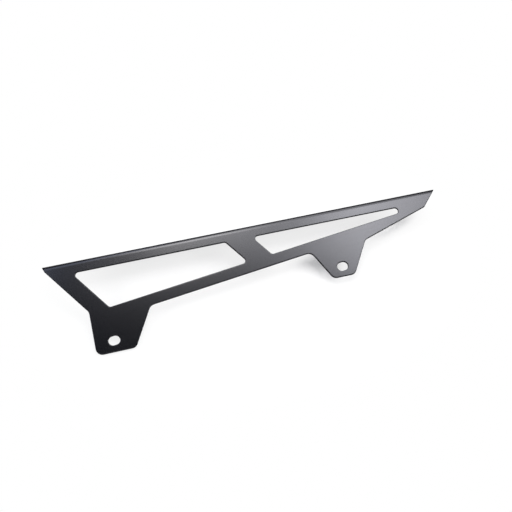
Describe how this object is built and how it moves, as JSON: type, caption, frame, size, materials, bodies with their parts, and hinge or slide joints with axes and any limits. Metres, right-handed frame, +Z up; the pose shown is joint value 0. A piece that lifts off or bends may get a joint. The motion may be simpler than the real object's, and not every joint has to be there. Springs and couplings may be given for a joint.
{
  "type": "motorcycle chain guard",
  "caption": "Folded aluminium sheet guard for a motorcycle chain, with a tapering plate, two windows, a flange along the top and two tabs with slotted bolt holes.",
  "frame": {"origin": "on the table under the middle of the guard's bounding box, where it lies outer face up", "axes": "+X along the fold from the front end to the rear tip, +Y level across the guard towards the fold, +Z up"},
  "size_m": [0.4012, 0.0994, 0.0227],
  "materials": {
    "black_sheet": "satin black anodised"
  },
  "bodies": {
    "root": {"chain_guard": "black_sheet"}
  },
  "joints": []
}
